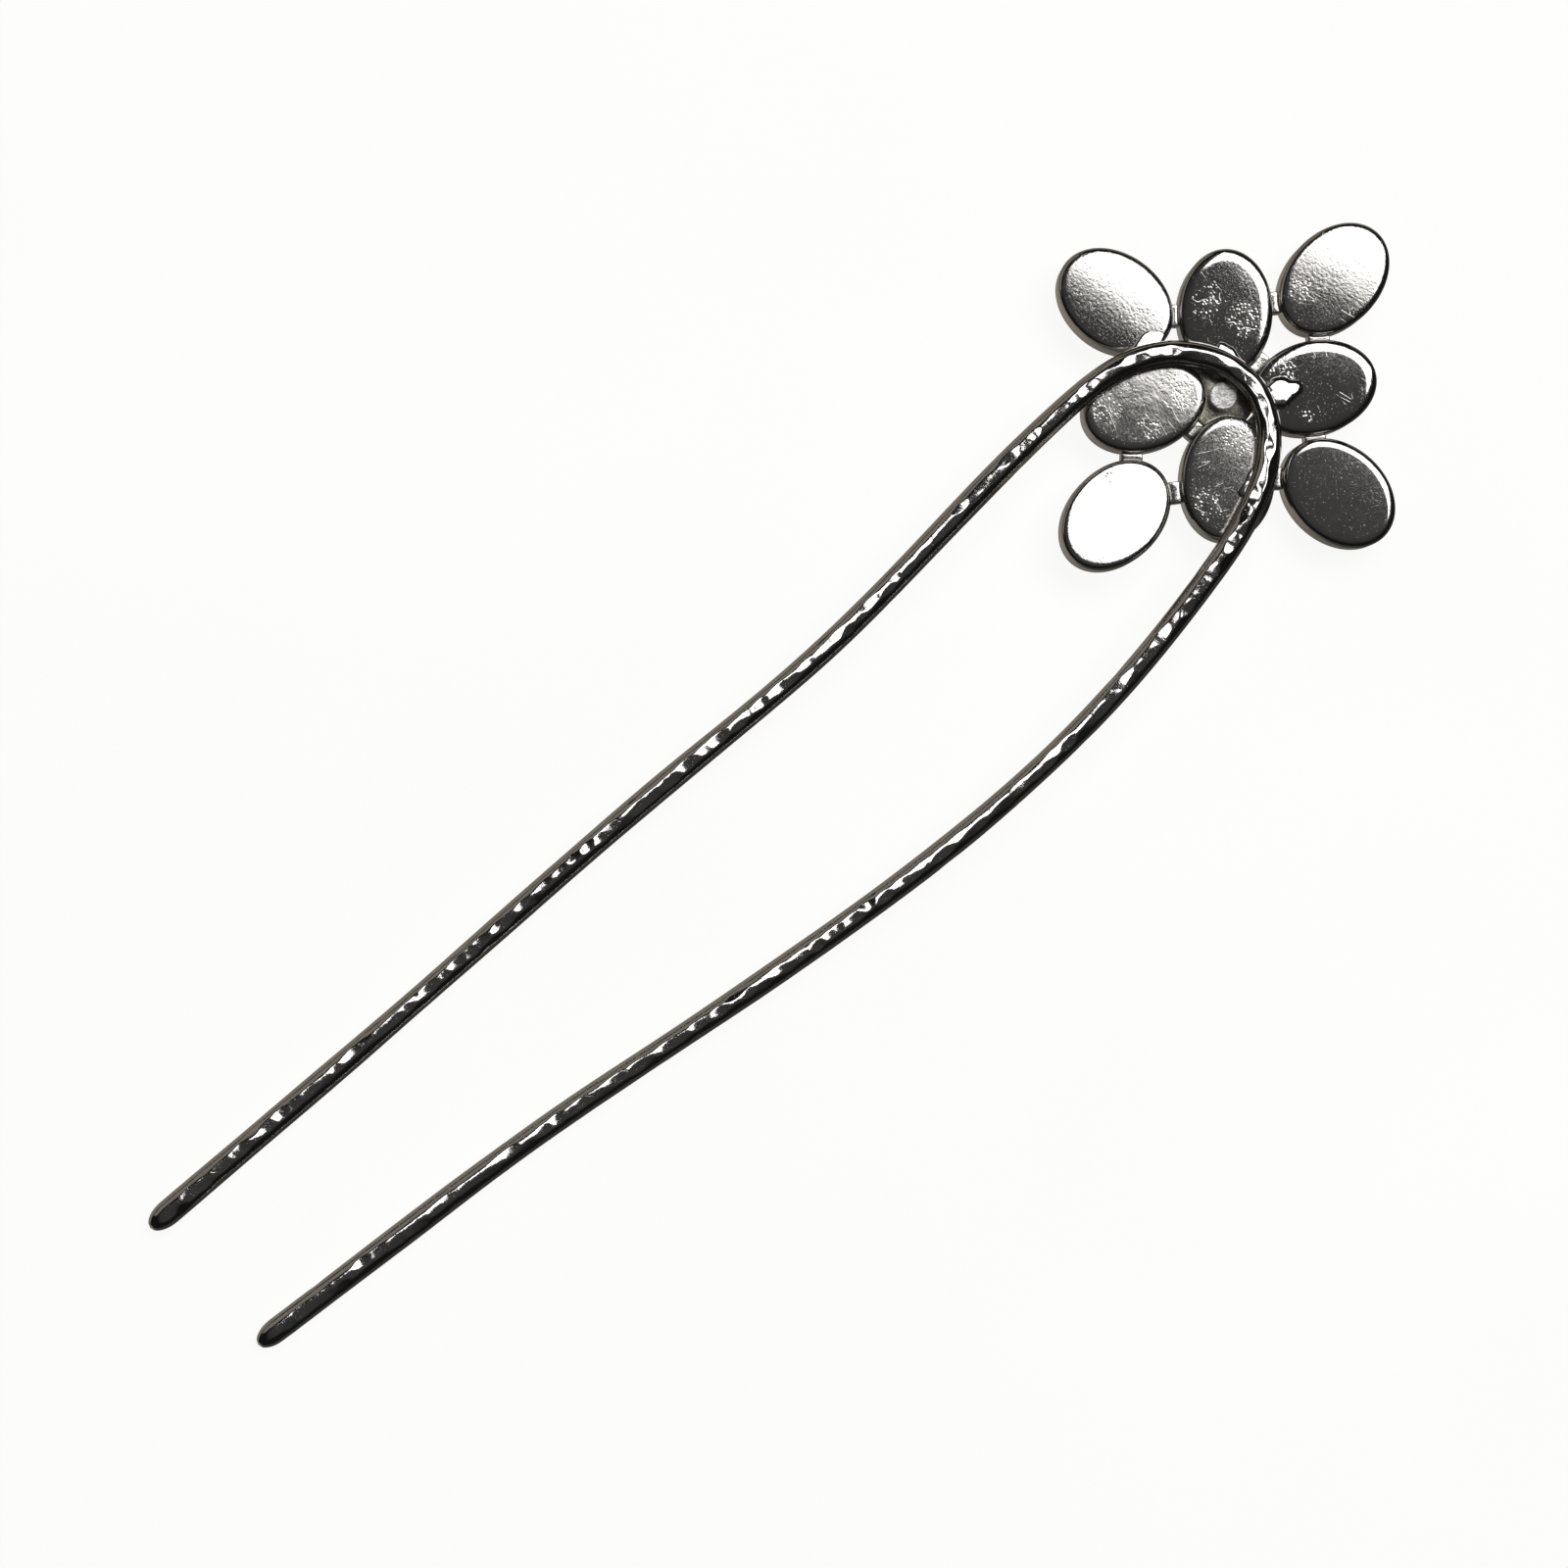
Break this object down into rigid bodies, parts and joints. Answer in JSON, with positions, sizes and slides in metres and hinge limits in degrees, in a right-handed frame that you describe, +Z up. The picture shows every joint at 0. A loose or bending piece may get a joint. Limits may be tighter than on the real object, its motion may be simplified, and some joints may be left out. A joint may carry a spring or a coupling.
{
  "type": "hair pin",
  "caption": "Two-pronged hair pin: a hammered round wire bent in a U and soldered to the back of a flower of oval stone settings.",
  "frame": {"origin": "middle of the centre stone's table, in the plane of the stones' tables that the pin lies on", "axes": "+Z up to the back of the pin, where the wire is soldered; +Y along the pin from the prongs to the flower; +X across the two prongs"},
  "size_m": [0.0362, 0.1385, 0.0065],
  "materials": {
    "plated_wire": "bright plated, hammered all over",
    "plated_setting": "bright plated, finely pitted and scratched",
    "ground_metal": "coarsely ground and plated",
    "solder": "smooth run solder, plated over",
    "crystal": "faceted, clear with a grey tint"
  },
  "bodies": {
    "root": {"outer_cup_1": "plated_setting", "outer_stone_1": "crystal", "outer_cup_2": "plated_setting", "outer_stone_2": "crystal", "outer_cup_3": "plated_setting", "outer_stone_3": "crystal", "outer_cup_4": "plated_setting", "outer_stone_4": "crystal", "inner_cup_1": "plated_setting", "inner_stone_1": "crystal", "inner_cup_2": "plated_setting", "inner_stone_2": "crystal", "inner_cup_3": "plated_setting", "inner_stone_3": "crystal", "inner_cup_4": "plated_setting", "inner_stone_4": "crystal", "centre_hub": "plated_setting", "centre_post": "ground_metal", "centre_stone": "crystal", "outer_link_1": "plated_setting", "outer_link_2": "plated_setting", "outer_link_3": "plated_setting", "outer_link_4": "plated_setting", "outer_link_5": "plated_setting", "outer_link_6": "plated_setting", "outer_link_7": "plated_setting", "outer_link_8": "plated_setting", "inner_link_1": "plated_setting", "inner_link_2": "plated_setting", "inner_link_3": "plated_setting", "inner_link_4": "plated_setting", "fork_wire": "plated_wire", "solder_joint_1": "solder", "solder_joint_2": "solder", "solder_joint_3": "solder", "solder_joint_4": "solder"}
  },
  "joints": []
}
